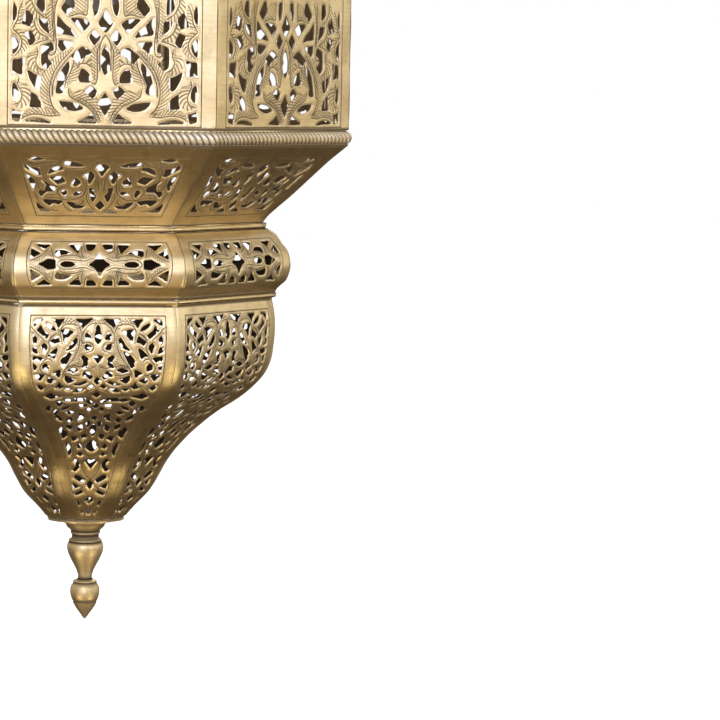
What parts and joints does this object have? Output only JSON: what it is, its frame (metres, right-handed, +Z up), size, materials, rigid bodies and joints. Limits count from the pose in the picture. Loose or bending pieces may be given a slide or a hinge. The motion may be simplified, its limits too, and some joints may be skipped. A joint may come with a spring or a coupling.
{
  "type": "hanging lantern",
  "caption": "Octagonal hanging lantern of pierced and chased brass, with a hinged door, flared skirt, bulging belt, ogee bowl, turned finial and a ring to hang it by.",
  "frame": {"origin": "the hanging point: the inside of the hanging ring at its top, where a hook bears", "axes": "+Z up along the lantern's axis; -Y out of the front face; the door is on the +Y face"},
  "size_m": [0.3034, 0.3068, 0.6376],
  "materials": {
    "pierced_brass": "hand-pierced and chased sheet, satin antique finish, dark patina in the cuts and inside",
    "trim_brass": "drawn and twisted wire, rubbed bright on its high lines",
    "turned_brass": "turned and lightly brushed, antique",
    "steel_fittings": "plain zinc-plated",
    "lamp_holder": "glazed",
    "bulb_glass": "frosted"
  },
  "bodies": {
    "ring": {"hanging_ring": "trim_brass"},
    "link": {"chain_link": "trim_brass"},
    "lantern": {"dome_panel_front": "pierced_brass", "dome_panel_front_right": "pierced_brass", "dome_panel_right": "pierced_brass", "dome_panel_back_right": "pierced_brass", "dome_panel_back": "pierced_brass", "dome_panel_back_left": "pierced_brass", "dome_panel_left": "pierced_brass", "dome_panel_front_left": "pierced_brass", "flare_panel_front": "pierced_brass", "flare_panel_front_right": "pierced_brass", "flare_panel_right": "pierced_brass", "flare_panel_back_right": "pierced_brass", "flare_panel_back": "pierced_brass", "flare_panel_back_left": "pierced_brass", "flare_panel_left": "pierced_brass", "flare_panel_front_left": "pierced_brass", "belt_panel_front": "pierced_brass", "belt_panel_front_right": "pierced_brass", "belt_panel_right": "pierced_brass", "belt_panel_back_right": "pierced_brass", "belt_panel_back": "pierced_brass", "belt_panel_back_left": "pierced_brass", "belt_panel_left": "pierced_brass", "belt_panel_front_left": "pierced_brass", "bowl_panel_front": "pierced_brass", "bowl_panel_front_right": "pierced_brass", "bowl_panel_right": "pierced_brass", "bowl_panel_back_right": "pierced_brass", "bowl_panel_back": "pierced_brass", "bowl_panel_back_left": "pierced_brass", "bowl_panel_left": "pierced_brass", "bowl_panel_front_left": "pierced_brass", "side_panel_front": "pierced_brass", "side_panel_front_right": "pierced_brass", "side_panel_right": "pierced_brass", "side_panel_back_right": "pierced_brass", "side_panel_back_left": "pierced_brass", "side_panel_left": "pierced_brass", "side_panel_front_left": "pierced_brass", "bottom_plate": "pierced_brass", "rope_trim_upper": "trim_brass", "rope_trim_lower": "trim_brass", "bead_upper": "trim_brass", "bead_lower": "trim_brass", "hanging_loop": "trim_brass", "finial": "turned_brass", "crown": "turned_brass", "door_hinge_fixed": "turned_brass", "latch_keeper": "turned_brass", "finial_nut": "steel_fittings", "stem_tube": "steel_fittings", "bulb_base": "steel_fittings", "door_hinge_pin": "steel_fittings", "lamp_holder": "lamp_holder", "bulb_glass": "bulb_glass"},
    "door": {"door_panel": "pierced_brass", "door_hinge_moving": "turned_brass"},
    "latch": {"latch_button": "turned_brass"}
  },
  "joints": [
    {"name": "link_swing", "type": "hinge", "parent": "ring", "child": "link", "pos_m": [0, 0, -0.02425], "axis": [1, 0, 0], "range_deg": [-25, 25]},
    {"name": "lantern_swing", "type": "hinge", "parent": "link", "child": "lantern", "pos_m": [0, 0, -0.04025], "axis": [0, 1, 0], "range_deg": [-25, 25]},
    {"name": "door_swing", "type": "hinge", "parent": "lantern", "child": "door", "pos_m": [-0.06326, 0.15272, -0.255], "axis": [0, 0, 1], "range_deg": [0, 110]},
    {"name": "latch_turn", "type": "hinge", "parent": "door", "child": "latch", "pos_m": [0.05445, 0.15004, -0.255], "axis": [0, 1, 0], "range_deg": [-90, 0]}
  ]
}
